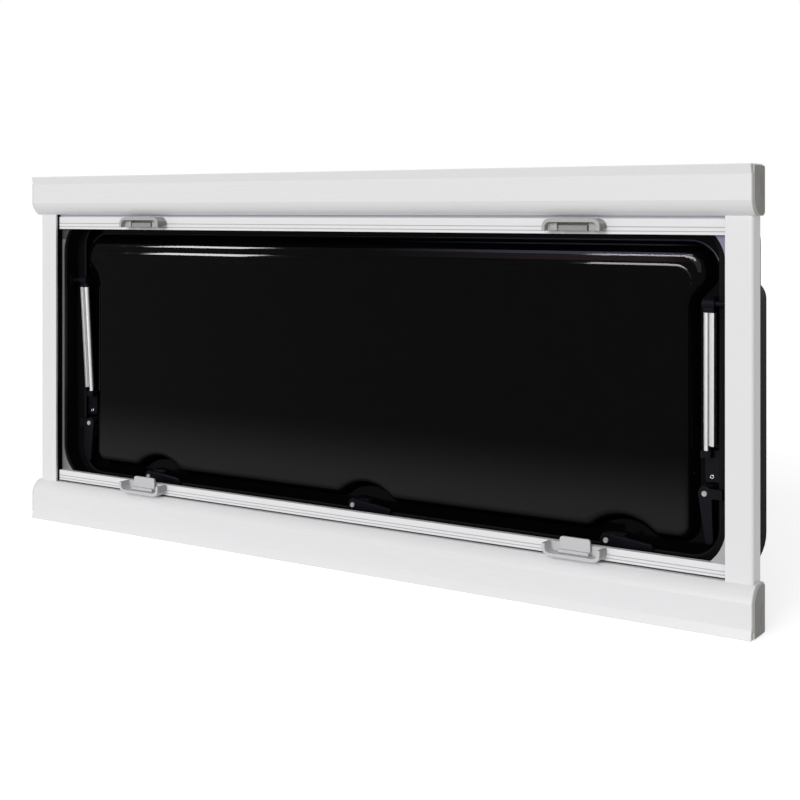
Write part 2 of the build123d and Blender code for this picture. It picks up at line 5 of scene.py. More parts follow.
import bpy
import numpy as np
from bpy.props import FloatProperty, FloatVectorProperty, IntProperty, PointerProperty
from bpy.types import NodeSocket, Operator, Panel, PropertyGroup
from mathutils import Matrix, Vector


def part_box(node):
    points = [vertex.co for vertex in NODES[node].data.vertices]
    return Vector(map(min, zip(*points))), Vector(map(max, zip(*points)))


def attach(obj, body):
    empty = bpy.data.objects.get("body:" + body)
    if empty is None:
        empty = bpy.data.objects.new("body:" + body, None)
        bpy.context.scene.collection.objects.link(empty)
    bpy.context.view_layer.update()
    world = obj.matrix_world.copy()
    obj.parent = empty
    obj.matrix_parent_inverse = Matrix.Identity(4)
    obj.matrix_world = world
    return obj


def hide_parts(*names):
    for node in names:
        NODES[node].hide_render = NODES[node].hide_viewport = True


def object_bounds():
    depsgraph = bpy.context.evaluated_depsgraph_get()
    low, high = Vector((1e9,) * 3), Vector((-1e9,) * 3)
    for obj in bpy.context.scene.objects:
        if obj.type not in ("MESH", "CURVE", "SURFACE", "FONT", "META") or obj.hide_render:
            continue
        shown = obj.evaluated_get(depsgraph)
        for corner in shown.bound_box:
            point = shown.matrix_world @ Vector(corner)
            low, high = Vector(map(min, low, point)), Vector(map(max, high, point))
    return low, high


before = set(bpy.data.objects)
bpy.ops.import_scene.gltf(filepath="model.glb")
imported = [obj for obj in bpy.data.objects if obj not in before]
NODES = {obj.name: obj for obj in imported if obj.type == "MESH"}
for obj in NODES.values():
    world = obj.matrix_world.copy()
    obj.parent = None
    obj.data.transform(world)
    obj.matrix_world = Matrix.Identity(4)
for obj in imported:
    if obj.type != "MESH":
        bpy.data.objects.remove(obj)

bl_info = {
    "name": "Caravan window finish",
    "version": (1, 0, 0),
    "blender": (4, 5, 0),
    "location": "View3D > Sidebar > Window",
    "description": "Dresses a packed caravan window with its finishes, small fittings and stage",
    "category": "Object",
}

cad_low, cad_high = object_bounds()
SIDES = ("left", "right")
LATCHES = (*SIDES, "bottom_left", "bottom_middle", "bottom_right")
RIGHT = np.array((1.0, 0, 0))
OUTDOORS = np.array((0, 1.0, 0))
INDOORS = -OUTDOORS
SHADER = "Principled BSDF"
WHITE = (1, 1, 1, 1)

# Marks of a finish: a band reaches either way of its middle, a ramp eases in from start to stop.
# Axis X is the distance from the window's middle, and axis "side" the place to the right of it.
Band = namedtuple("Band", "axis middle reach")
Ramp = namedtuple("Ramp", "axis start stop")

# Where the finishes change, in metres
BAR_GROOVES = Band("Y", -0.04495, 0.0004)
TRACK_LINING = (Band("Y", -0.0427, 0.006), Band("X", 0.6203, 0.0103))
# Painted highlight: the band of the caps' front bevels, tinted lighter as the light they catch
CAP_BEVEL_HIGHLIGHTS = Band("X", 0.65205, 0.00165)
# Painted shade: reach of the darker tint on the handles' right end faces
HANDLE_END_SHADE_REACH = 0.0012
RIM_UNDER_CASSETTE = Ramp("Z", 0.30, 0.45)
RIM_LEFT_SIDE = Ramp("side", -0.57, -0.60)
RIM_UPPER_LEFT = (Band("side", -0.6, 0.1), Band("Z", 0.50, 0.065))
RIM_INNER_WALL = Band("Y", -0.0310, 0.0042)
# Painted reflection: where the raised field is tinted lighter low down, as the pale floor mirrored
# in it
LOWER_FIELD_REFLECTION = (Ramp("Z", 0.165, 0.055), Ramp("Y", -0.0105, -0.0160))
TO_THE_RIGHT = Ramp("side", 0.0, 0.45)
OUT_AT_CORNER = Ramp("side", 0.565, 0.50)
# Painted reflections on the raised field: a brown streak on its shoulder and lilac streaks near its
# top
BROWN_REFLECTION_STREAK = Band("Z", 0.4205, 0.0038)
LILAC_REFLECTION_STREAKS = (Band("Z", 0.4268, 0.0020), Band("Z", 0.4389, 0.0010))
OUTDOOR_SIDE = Ramp("Y", -0.001, 0.002)
DOME_END_FROM, DOME_END_TO = 0.022, 0.012  # distances from the dome's end

# Places and sizes on the CAD pieces that the fittings follow, in metres
HUB_RADIUS = 0.0095
PANE_FLAT, PANE_CROWN = 0.005, -0.017  # depths of the inner pane's flat edge and raised field
CLOTH_EDGE, CLOTH_INDOORS = 0.0005, 0.002  # gap at a bar's end, and offset from a bar's middle
SCREW_INDOORS, SCREW_UP = 0.004, 0.007  # from the back and the foot of a stay's sash bracket
BUTTON_RADIUS, BUTTON_EDGE = 0.0038, 0.0009
CLOSED_RADIUS = 0.00001  # last ring of a turned button

SLOW_DRIFT = 60  # how many times wider the slow pattern is than the grain of a moulding
ACRYLIC_IOR = 1.49
FLOOR_REACH, FLOOR_GAP = 30, 0.0002  # metres
FLOOR_ROUGH = 0.9
SENSOR_WIDTH = 36  # millimetres

# Softboxes: the level is a share of their common brightness
Softbox = namedtuple("Softbox", "name place target size level")
LEFT_SHOULDER, RIGHT_SHOULDER = (-0.29, -0.015, 0.42), (0.50, -0.015, 0.42)
SOFTBOXES = (
    Softbox("box_left", (-1.59, -1.395, 1.0), LEFT_SHOULDER, (0.30, 0.46), 1.9),
    Softbox("box_low", (0.12, -1.45, 1.02), RIGHT_SHOULDER, (0.85, 0.34), 1.4),
    Softbox("box_high", (0.12, -1.02, 1.46), RIGHT_SHOULDER, (0.85, 0.34), 1.4),
    Softbox("box_back", (1.5, 1.2, 1.35), (0, 0.05, 0.40), (1.5, 0.4), 1.0),
)


# Properties


def colour(name, text, value):
    """Colour property in scene-linear red, green and blue."""
    return FloatVectorProperty(
        name=name, description=text, default=value, subtype="COLOR", size=3, min=0, max=1
    )


def length(name, text, value):
    """Length property in metres."""
    return FloatProperty(
        name=name, description=text, default=value, unit="LENGTH", subtype="DISTANCE", min=0
    )


def angle(name, text, degrees):
    """Angle property, whose default is given in degrees."""
    return FloatProperty(
        name=name, description=text, default=math.radians(degrees), unit="ROTATION", subtype="ANGLE"
    )


def share(name, text, value, top=1.0):
    """Plain number property from zero upwards."""
    return FloatProperty(name=name, description=text, default=value, min=0, max=top)


class WindowFinish(PropertyGroup):
    """Colours and gloss of the window's finishes."""

    white: colour("White sections", "Painted cassettes, channels and bars", (0.79, 0.79, 0.80))
    white_rough: share("White roughness", "Roughness of the white paint", 0.27)
    cap: colour("End caps", "Moulded end caps of the cassettes", (0.21, 0.205, 0.19))
    # Painted highlight: lighter colour of the caps' front bevels, standing in for the light on them
    bevel: colour("Cap bevels", "Lighter bevels of the end caps", (0.47, 0.46, 0.44))
    # Painted light: the blind and the screen handles are one plastic, a darker shaded copy here and
    # a lighter lit copy for the screen
    handle: colour("Blind handles", "Moulded handles of the blind bar", (0.40, 0.40, 0.395))
    # Painted shade: darker right ends of the blind and the screen handles, as their side faces in
    # shade
    handle_end_shade: colour("Blind handle ends", "Shaded right ends of them", (0.22, 0.215, 0.20))
    catch: colour("Catches", "Darker catch plates in the blind handles", (0.27, 0.27, 0.265))
    tab: colour("Screen handles", "Lighter handles and clips of the screen", (0.56, 0.56, 0.57))
    tab_end_shade: colour("Screen handle ends", "Shaded right ends of them", (0.36, 0.355, 0.34))
    rim: colour("Rim", "Satin rim round the opening", (0.40, 0.40, 0.41))
    rim_top: colour("Upper rim", "Rim in the shade of the upper cassette", (0.20, 0.20, 0.30))
    rim_left: colour("Left rim", "Rim's left side, away from the light", (0.19, 0.19, 0.185))
    rim_shade: colour("Rim shade", "Dark upper left corner of the rim", (0.05, 0.05, 0.05))
    rim_wall: colour("Rim wall", "Dark inner wall of the rim", (0.012, 0.012, 0.014))
    groove: colour("Groove shade", "Shade in the grooves of the pull bars", (0.46, 0.46, 0.47))
    acrylic: colour("Acrylic", "Black acrylic of the two panes", (0.0010, 0.0009, 0.0011))
    acrylic_shine: share("Acrylic shine", "Specular level of the polished acrylic", 0.035)
    bead_shine: share("Bead shine", "Specular level of the bead on the pane", 0.3)
    # Painted reflections: lilac and brown streaks tinted on the raised field, and lilac on its bead
    sheen: colour("Lilac sheen", "Faint streaks at the field's top right", (0.05, 0.047, 0.078))
    glow: colour("Brown sheen", "Faint streak on the field's shoulder", (0.016, 0.010, 0.010))
    # Painted reflection: lighter colour low on the raised field, standing in for the floor's
    # reflection
    haze_and_painted_reflection: colour("Pane haze", "Dust low on the raised field", (0.0172, 0.0162, 0.0160))
    dome_end: share("Dome ends", "Roughness of the outer pane's flat ends", 0.9)
    outdoors: colour("Outdoor coating", "Frame's outdoor side", (0.016, 0.016, 0.018))
    coat: colour("Black coating", "Coated outer frame and hinge", (0.0035, 0.0035, 0.004))
    rubber: colour("Rubber", "Seal and trim", (0.004, 0.004, 0.0045))
    fitting: colour("Black fittings", "Levers, bases and brackets", (0.0042, 0.0036, 0.0062))
    lining: colour("Track lining", "Dark lining of the channels' tracks", (0.008, 0.008, 0.009))
    guide: colour("Bar guides", "Plastic guides in the bar ends", (0.02, 0.02, 0.02))
    anodised: colour("Anodised stays", "Silver anodised stay tubes", (0.54, 0.54, 0.54))
    steel: colour("Steel", "Drawn rods and screws", (0.62, 0.62, 0.64))
    button: colour("Push buttons", "Grey buttons in the latch hubs", (0.40, 0.40, 0.41))
    blind_cloth: colour("Blind cloth", "Coated cloth of the roller blind", (0.84, 0.81, 0.95))
    screen_mesh: colour("Flyscreen mesh", "Glass-fibre mesh", (0.035, 0.035, 0.037))


class WindowFittings(PropertyGroup):
    """Sizes of the small fittings that are added to the CAD pieces."""

    screw_radius: length("Screw radius", "Radius of the pan-head screws", 0.0031)
    screw_height: length("Screw height", "Height of the pan-head screws", 0.0016)
    button_dish: length("Button dish", "Depth of the hollow in a push button", 0.0006)
    trim_half: length("Trim half", "Half the width of the trim on the stop's edge", 0.0026)
    bead_width: length("Bead width", "Width of the bead round the raised field", 0.0026)
    bead_rise: length("Bead rise", "Height of that bead", 0.0013)
    swage_width: length("Swage width", "Width of the low ridge on the field's top", 0.016)
    swage_rise: length("Swage rise", "Height of that ridge", 0.0011)
    slot_width: length("Slot width", "Width of the slots beside a catch", 0.0024)
    recess_half: length("Recess half", "Half the width of a blind handle's hollow", 0.0386)
    cloth_show: length("Cloth show", "Cloth between a bar and its cassette's inside", 0.0125)
    turns: IntProperty(
        name="Round steps", description="Points round a turned piece", default=40, min=12, max=96
    )


class WindowStage(PropertyGroup):
    """Camera, lamps and floor."""

    camera_place: FloatVectorProperty(
        name="Camera place", description="Camera position", default=(1.2498, -1.7837, 0.4832),
        unit="LENGTH", subtype="TRANSLATION",
    )
    camera_turn: angle("Camera turn", "Turn of the level camera to the left", 33.29)
    camera_lens: FloatProperty(
        name="Lens", description="Focal length on a 36 mm sensor", default=63.23, unit="CAMERA"
    )
    camera_drop: FloatProperty(
        name="Lens drop", description="Vertical shift of the lens", default=-0.235
    )
    floor_colour: colour("Floor", "Pale floor", (0.82, 0.82, 0.82))
    floor_glow: share("Floor glow", "Brightness added to the floor for the camera", 0.62, 4)
    ambient: share("Ambient", "Strength of the plain sky on the object", 0.38, 4)
    sun: share("Key lamp", "Strength of the soft key lamp", 1.8, 20)
    sun_spread: angle("Key spread", "Width of the key lamp in the sky", 36)
    sun_tilt: angle("Key tilt", "Tilt of the key lamp from straight down", 72)
    softbox: share("Softboxes", "Brightness of the softboxes that shine in the gloss", 90, 400)


# Node helpers


def start_material(name):
    """New node material, its node tree and its main shader."""
    material = bpy.data.materials.new(name)
    material.use_nodes = True
    return material, material.node_tree, material.node_tree.nodes[SHADER]


def place_pattern(tree, stretch=(1, 1, 1)):
    """Object coordinates, stretched along the axes."""
    coordinates = tree.nodes.new("ShaderNodeTexCoord")
    mapping = tree.nodes.new("ShaderNodeMapping")
    mapping.inputs["Scale"].default_value = stretch
    tree.links.new(coordinates.outputs["Object"], mapping.inputs["Vector"])
    return mapping.outputs["Vector"]


def noise(tree, vector, scale, detail, rough=0.55):
    """Noise value from 0 to 1."""
    node = tree.nodes.new("ShaderNodeTexNoise")
    node.inputs["Scale"].default_value = scale
    node.inputs["Detail"].default_value = detail
    node.inputs["Roughness"].default_value = rough
    tree.links.new(vector, node.inputs["Vector"])
    return node.outputs["Fac"]


def remap(tree, value, low, high, start=0.3, stop=0.7, easing="LINEAR"):
    """Value carried from start..stop to low..high."""
    node = tree.nodes.new("ShaderNodeMapRange")
    node.interpolation_type = easing
    node.inputs["From Min"].default_value = start
    node.inputs["From Max"].default_value = stop
    node.inputs["To Min"].default_value = low
    node.inputs["To Max"].default_value = high
    tree.links.new(value, node.inputs["Value"])
    return node.outputs["Result"]


def calculate(tree, operation, *values):
    """Result of a math node on values that are sockets or plain numbers."""
    node = tree.nodes.new("ShaderNodeMath")
    node.operation = operation
    for socket, value in zip(node.inputs, values):
        if isinstance(value, NodeSocket):
            tree.links.new(value, socket)
        else:
            socket.default_value = value
    return node.outputs["Value"]


def gather(tree, operation, values):
    """Values joined one after another by a math operation."""
    return reduce(partial(calculate, tree, operation), values)


def blend_colours(tree, factor, first, second):
    """Colour between first and second."""
    node = tree.nodes.new("ShaderNodeMix")
    node.data_type = "RGBA"
    node.inputs["A"].default_value = (*first, 1)
    node.inputs["B"].default_value = (*second, 1)
    tree.links.new(factor, node.inputs["Factor"])
    return node.outputs["Result"]


def raise_bump(tree, height, shader, depth, strength=0.5):
    """Bump of a given depth on the shader's normal."""
    node = tree.nodes.new("ShaderNodeBump")
    node.inputs["Strength"].default_value = strength
    node.inputs["Distance"].default_value = depth
    tree.links.new(height, node.inputs["Height"])
    tree.links.new(node.outputs["Normal"], shader.inputs["Normal"])


def axis_value(tree, axis):
    """Object coordinate along a mark's axis."""
    axes = tree.nodes.new("ShaderNodeSeparateXYZ")
    tree.links.new(place_pattern(tree), axes.inputs["Vector"])
    if axis == "side":
        return axes.outputs["X"]
    if axis == "X":
        return calculate(tree, "ABSOLUTE", axes.outputs["X"])
    return axes.outputs[axis]


def mark_factor(tree, mark):
    """One inside a band and zero outside, or zero before a ramp, one after it and eased between."""
    value = axis_value(tree, mark.axis)
    if isinstance(mark, Band):
        return calculate(tree, "COMPARE", value, mark.middle, mark.reach)
    return remap(tree, value, 0, 1, mark.start, mark.stop, "SMOOTHSTEP")


def overlay(material, socket_name, value, *marks):
    """Lays a value over what feeds a socket of the shader, by the marks' factors multiplied."""
    tree = material.node_tree
    target = tree.nodes[SHADER].inputs[socket_name]
    mix = tree.nodes.new("ShaderNodeMix")
    mix.data_type = "RGBA" if target.type == "RGBA" else "FLOAT"
    mix.inputs["B"].default_value = value
    factors = [mark_factor(tree, mark) for mark in marks]
    tree.links.new(gather(tree, "MULTIPLY", factors), mix.inputs["Factor"])
    tree.links.new(target.links[0].from_socket, mix.inputs["A"])
    tree.links.new(mix.outputs["Result"], target)


def tint(material, shade, *marks):
    """Tints a finish where all of its marks hold."""
    overlay(material, "Base Color", (*shade, 1), *marks)


def varied(base, amount):
    """Colour made lighter or darker by a share."""
    return tuple(min(1.0, channel * (1 + amount)) for channel in base)


def moulded(
    name, base, rough, grain, depth, drift, stretch=(1, 1, 1), specular=0.5, speckled=False
):
    """Moulded or painted surface: drift or speckles of colour, uneven gloss and a fine grain."""
    material, tree, shader = start_material(name)
    vector = place_pattern(tree, stretch)
    slow = noise(tree, vector, grain / SLOW_DRIFT, detail=4)
    fine = noise(tree, vector, grain, detail=2)
    pattern = fine if speckled else slow
    blend = blend_colours(tree, pattern, varied(base, -drift), varied(base, drift))
    tree.links.new(blend, shader.inputs["Base Color"])
    gloss = remap(tree, slow, low=rough * 0.85, high=rough * 1.15)
    tree.links.new(gloss, shader.inputs["Roughness"])
    shader.inputs["Specular IOR Level"].default_value = specular
    raise_bump(tree, fine, shader, depth)
    return material


def drawn_metal(name, base, rough, lines):
    """Metal with fine lines along its length: noise stretched out along the Z axis."""
    material, tree, shader = start_material(name)
    vector = place_pattern(tree, stretch=(1, 1, 0.02))
    streak = noise(tree, vector, lines, detail=2, rough=0.6)
    blend = blend_colours(tree, streak, varied(base, -0.10), varied(base, 0.06))
    tree.links.new(blend, shader.inputs["Base Color"])
    gloss = remap(tree, streak, low=rough * 0.75, high=rough * 1.25)
    tree.links.new(gloss, shader.inputs["Roughness"])
    shader.inputs["Metallic"].default_value = 1.0
    raise_bump(tree, streak, shader, depth=0.00004, strength=0.4)
    return material


def acrylic(name, base, shine):
    """Polished black acrylic: a faint wave from forming, a little haze and almost no texture."""
    material, tree, shader = start_material(name)
    vector = place_pattern(tree)
    wave = noise(tree, vector, scale=5.0, detail=1, rough=0.4)
    haze_and_painted_reflection = noise(tree, vector, scale=38.0, detail=4, rough=0.6)
    tree.links.new(blend_colours(tree, haze_and_painted_reflection, base, varied(base, 0.9)), shader.inputs["Base Color"])
    tree.links.new(remap(tree, haze_and_painted_reflection, low=0.035, high=0.075), shader.inputs["Roughness"])
    shader.inputs["IOR"].default_value = ACRYLIC_IOR
    shader.inputs["Specular IOR Level"].default_value = shine
    raise_bump(tree, wave, shader, depth=0.002, strength=0.08)
    return material


def woven(name, base, pitch):
    """Plain weave: two crossed waves of threads set the height and the shade."""
    material, tree, shader = start_material(name)
    vector = place_pattern(tree)
    threads = []
    for direction in ("X", "Z"):
        thread = tree.nodes.new("ShaderNodeTexWave")
        thread.bands_direction = direction
        thread.inputs["Scale"].default_value = math.pi / (10 * pitch)  # one wave to each thread
        thread.inputs["Distortion"].default_value = 0.4
        tree.links.new(vector, thread.inputs["Vector"])
        threads.append(thread.outputs["Fac"])
    weave = gather(tree, "MULTIPLY", threads)
    blend = blend_colours(tree, weave, varied(base, -0.35), varied(base, 0.2))
    tree.links.new(blend, shader.inputs["Base Color"])
    gloss = remap(tree, weave, low=0.85, high=0.65, start=0, stop=1)
    tree.links.new(gloss, shader.inputs["Roughness"])
    shader.inputs["Sheen Weight"].default_value = 0.15
    raise_bump(tree, weave, shader, depth=0.0002)
    return material


def both(*kinds):
    """Names of the left and the right CAD node of each kind."""
    return [f"{kind}_{side}" for kind in kinds for side in SIDES]


def coat_nodes(material, *names):
    """Gives CAD nodes their finish."""
    for name in names:
        for slot in NODES[name].material_slots:
            slot.material = material


# Surface helpers


def circle(steps):
    """Angles round a full turn, without the last."""
    return np.linspace(0, 2 * np.pi, steps, endpoint=False)


def quarter(steps):
    """Angles of a quarter turn, both ends included."""
    return np.linspace(0, np.pi / 2, steps)


def grid_object(name, grids, material, wrap_rows=False, wrap_columns=False):
    """One object from a stack of grids of points, rows by columns, where neighbours join as quads.

    Rows or columns that wrap are joined from the last back to the first.
    """
    grids = np.asarray(grids, float)
    copies, rows, columns = grids.shape[:3]
    index = np.arange(rows * columns).reshape(rows, columns)
    if wrap_rows:
        index = np.vstack([index, index[:1]])
    if wrap_columns:
        index = np.hstack([index, index[:, :1]])
    corners = [index[:-1, :-1], index[1:, :-1], index[1:, 1:], index[:-1, 1:]]
    quads = np.stack(corners, -1).reshape(-1, 4)
    quads = (quads[None] + (np.arange(copies) * rows * columns)[:, None, None]).reshape(-1, 4)
    mesh = bpy.data.meshes.new(name)
    mesh.from_pydata(grids.reshape(-1, 3), [], quads)
    mesh.polygons.foreach_set("use_smooth", np.ones(len(quads), bool))
    mesh.materials.append(material)
    mesh.validate()
    mesh.update()
    piece = bpy.data.objects.new(name, mesh)
    bpy.context.scene.collection.objects.link(piece)
    return piece


def surface(name, grids, material, slot_name, **wraps):
    """New piece of the window from grids of points."""
    piece = grid_object(name, grids, material, **wraps)
    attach(piece, "root")
    return piece


def turned(places, radii, heights, turns):
    """Profile of radii and heights turned about the way indoors, once at each place.

    A point is its place, plus its height along the axis, plus its radius round the axis.
    """
    turn = circle(turns)
    ring = np.stack([np.cos(turn), np.zeros(turns), np.sin(turn)], -1)
    radii, heights = np.asarray(radii, float), np.asarray(heights, float)
    form = radii[None, :, None] * ring[:, None, :] + heights[None, :, None] * INDOORS
    return np.asarray(places, float)[:, None, None, :] + form[None]


def rounded_ring(width, low, high, radius, depth, steps=14):
    """Points round a rectangle with round corners at one depth, and the outward way at each."""
    turn = (quarter(steps)[None] + np.arange(4)[:, None] * np.pi / 2).ravel()
    centre_x = np.repeat((1, -1, -1, 1), steps) * (width / 2 - radius)
    centre_z = np.repeat((high - radius, high - radius, low + radius, low + radius), steps)
    outward = np.stack([np.cos(turn), np.zeros_like(turn), np.sin(turn)], -1)
    points = np.stack([centre_x, np.full_like(turn, depth), centre_z], -1) + radius * outward
    return points, outward


def upper_path(half, top, radius, low):
    """Points up the right side, round the corner, along the top and down the left side.

    The outward way at each point is given too.
    """
    steps = 16
    bend = quarter(steps)[1:]
    leg = np.linspace(low, top - radius, steps)
    run = np.linspace(half - radius, radius - half, 4 * steps)[1:-1]
    right = np.concatenate([np.full(steps, half), half - radius + radius * np.cos(bend)])
    up = np.concatenate([leg, top - radius + radius * np.sin(bend)])
    turn = np.concatenate([np.zeros(steps), bend])
    across = np.concatenate([right, run, -right[::-1]])
    height = np.concatenate([up, np.full(len(run), top), up[::-1]])
    turn = np.concatenate([turn, np.full(len(run), np.pi / 2), np.pi - turn[::-1]])
    zero = np.zeros_like(across)
    outward = np.stack([np.cos(turn), zero, np.sin(turn)], -1)
    return np.stack([across, zero, height], -1), outward


def ridge(path, width, rise, depth):
    """Ridge along a path on a face at one depth, that runs out to a point at both ends.

    Across the path the place goes as a cosine and the height as a squared sine; the underside
    lies just in the face.
    """
    buried = 0.0003
    points, outward = path
    step = np.linalg.norm(np.diff(points, axis=0), axis=1)
    along = np.concatenate([[0], np.cumsum(step)])
    fade = np.clip(np.minimum(along, along[-1] - along) / (2 * width), 0, 1)[:, None, None]
    turn = circle(20)
    aside = np.cos(turn)[None, :, None] * width / 2 * fade * outward[:, None, :]
    height = np.where(np.sin(turn) > 0, rise, -buried) * np.sin(turn) ** 2
    front = (depth - height[None, :, None] * fade) * OUTDOORS
    return points[:, None, :] + aside + front


def pad(place, width, height, radius, rise):
    """Thin upright pad that faces indoors: a rounded rectangle raised, then drawn in to its middle.

    Rows go round the outline; columns go from the surface up the edge, over a small round and in
    to the middle.
    """
    ring, outward = rounded_ring(width, -height / 2, height / 2, radius, 0.0, steps=6)
    inset = np.array((0.0, 0.0, 0.15, 0.5)) * min(radius, rise)
    lift = np.array((0.0, 0.5, 0.85, 1.0)) * rise
    edge = ring[:, None, :] - inset[None, :, None] * outward[:, None, :]
    edge = edge + lift[None, :, None] * INDOORS
    middle = np.broadcast_to(rise * INDOORS, (len(ring), 1, 3))
    return np.concatenate([edge, middle], 1) + np.asarray(place, float)


def latch_hub(name):
    """Place across and up of a latch's hub, from the box of the lever that starts at the hub."""
    low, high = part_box(f"latch_lever_{name}")
    across = high.x - HUB_RADIUS if name == "left" else low.x + HUB_RADIUS
    return across, high.z - HUB_RADIUS


# Operators


class WINDOW_OT_white_sections(Operator):
    """Satin white paint on the cassettes, channels and pull bars."""

    bl_idname = "window.white_sections"
    bl_label = "White sections"

    def execute(self, context):
        finish = context.scene.window_finish
        level, upright = (0.08, 1, 1), (1, 1, 0.08)
        section = self.paint("white_paint_x", finish, level)
        coat_nodes(section, "blind_cassette", "screen_cassette")
        bar = self.paint("bar_paint", finish, level)
        tint(bar, finish.groove, BAR_GROOVES)
        coat_nodes(bar, "blind_bar", "screen_bar")
        channel = self.paint("white_paint_z", finish, upright)
        tint(channel, finish.lining, *TRACK_LINING)
        coat_nodes(channel, *both("channel"))
        return {"FINISHED"}

    def paint(self, name, finish, stretch):
        """White paint with faint lines along a section."""
        return moulded(
            name, finish.white, finish.white_rough, grain=700, depth=0.00002, drift=0.006,
            stretch=stretch, specular=0.4,
        )


class WINDOW_OT_grey_plastics(Operator):
    """Grained grey plastic on the caps, handles, catches and clips, and the finish of the rim."""

    bl_idname = "window.grey_plastics"
    bl_label = "Grey plastics"

    def execute(self, context):
        finish = context.scene.window_finish
        handle = self.handles(finish)
        self.rim(finish)
        cap = moulded(
            "cap_plastic", finish.cap, rough=0.5, grain=1100, depth=0.00012, drift=0.22,
            speckled=True,
        )
        # Painted highlight: the caps' front bevels are tinted lighter than the rest of the cap
        tint(cap, finish.bevel, CAP_BEVEL_HIGHLIGHTS)
        coat_nodes(cap, *both("blind_cap", "screen_cap"))
        guide = moulded(
            "guide_plastic", finish.guide, rough=0.5, grain=1200, depth=0.00005, drift=0.1
        )
        coat_nodes(guide, "blind_bar_guides", "screen_bar_guides")
        self.recess_plates(context.scene.window_fittings, handle)
        self.cap_lines(cap)
        return {"FINISHED"}

    def handles(self, finish):
        """Finishes of the handles, catches and clips; gives back that of the blind handles."""
        grained = partial(moulded, rough=0.46, grain=1300, depth=0.0001, speckled=True)
        # Painted light: one plastic, as a shaded copy on the blind handles and a lit copy on the
        # screen handles
        handle = grained("handle_plastic", finish.handle, drift=0.14)
        catch = grained("catch_plastic", finish.catch, drift=0.12)
        tab = grained("tab_plastic", finish.tab, drift=0.12)
        # Painted shade: the right end of each handle is tinted darker, standing in for the shade on
        # its side face
        for material, end, kind in (
            (handle, finish.handle_end_shade, "blind_handle"),
            (tab, finish.tab_end_shade, "screen_handle"),
        ):
            for name in both(kind):
                tint(material, end, Band("side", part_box(name)[1].x, HANDLE_END_SHADE_REACH))
        coat_nodes(handle, *both("blind_handle"))
        coat_nodes(catch, *both("blind_catch"))
        coat_nodes(tab, *both("screen_handle", "screen_clip"))
        return handle

    def rim(self, finish):
        """Satin finish of the rim, with its shaded sides."""
        rim = moulded("rim_satin", finish.rim, rough=0.42, grain=900, depth=0.00003, drift=0.03)
        tint(rim, finish.rim_top, RIM_UNDER_CASSETTE)
        tint(rim, finish.rim_left, RIM_LEFT_SIDE)
        tint(rim, finish.rim_shade, *RIM_UPPER_LEFT)
        tint(rim, finish.rim_wall, RIM_INNER_WALL)
        coat_nodes(rim, "frame_rim")

    def recess_plates(self, sizes, handle):
        """Plates in a blind handle's hollow beside its catch: upright pads with round corners.

        A slot is left between a plate and the catch.
        """
        height, back, corner, rise = 0.0116, 0.0025, 0.0008, 0.002
        grids = []
        for name in both("blind_catch"):
            low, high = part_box(name)
            centre = (low.x + high.x) / 2
            inner = (high.x - low.x) / 2 + sizes.slot_width
            for way in (-1, 1):
                across = centre + way * (inner + sizes.recess_half) / 2
                place = (across, low.y + back, low.z + height / 2)
                grids.append(pad(place, sizes.recess_half - inner, height, corner, rise))
        surface("recess_plates", grids, handle, "handle_grey", wrap_rows=True)

    def cap_lines(self, cap):
        """Moulded lines on the caps' ends: an ellipse along a hooked path, mirrored on four caps.

        The path runs indoors, round a bend, towards the cap's outer edge, round a second bend and
        back outdoors.
        """
        start, stop, front = -0.0275, -0.031, -0.040  # depths
        top, middle, foot = 0.0385, 0.022, 0.014  # heights from the cap's outer edge
        wide_bend, tight_bend = 0.006, 0.004
        half_width, rise, tip = 0.0005, 0.0004, 0.001
        bend = quarter(8)
        depth = np.concatenate([
            (start, stop),
            front + wide_bend * (1 - np.sin(bend)),
            (front,),
            front + tight_bend * (1 - np.cos(bend)),
            (stop,),
        ])
        height = np.concatenate([
            (top, top),
            top - wide_bend * (1 - np.cos(bend)),
            (middle,),
            foot + tight_bend * (1 - np.sin(bend)),
            (foot,),
        ])
        zero = np.zeros_like(depth)
        path = np.stack([zero, depth, height], -1)
        along = np.gradient(path, axis=0)
        aside = np.stack([zero, -along[:, 2], along[:, 1]], -1)
        aside /= np.linalg.norm(aside, axis=1)[:, None]
        count = np.arange(len(depth))
        fade = np.clip(np.minimum(count, count[::-1]), tip, 1)[:, None, None]
        turn = circle(12)[None, :, None]
        form = path[:, None, :] + np.cos(turn) * half_width * fade * aside[:, None, :]
        form = form + np.sin(turn) * rise * fade * RIGHT
        grids = []
        for way in (-1, 1):
            for edge, up in ((cad_low.z, 1), (cad_high.z, -1)):
                grid = form * np.array((way, 1, up)) + np.array((way * cad_high.x, 0, edge))
                grids.append(grid if way * up > 0 else grid[:, ::-1])
        surface("cap_lines", grids, cap, "cap_grey", wrap_columns=True)


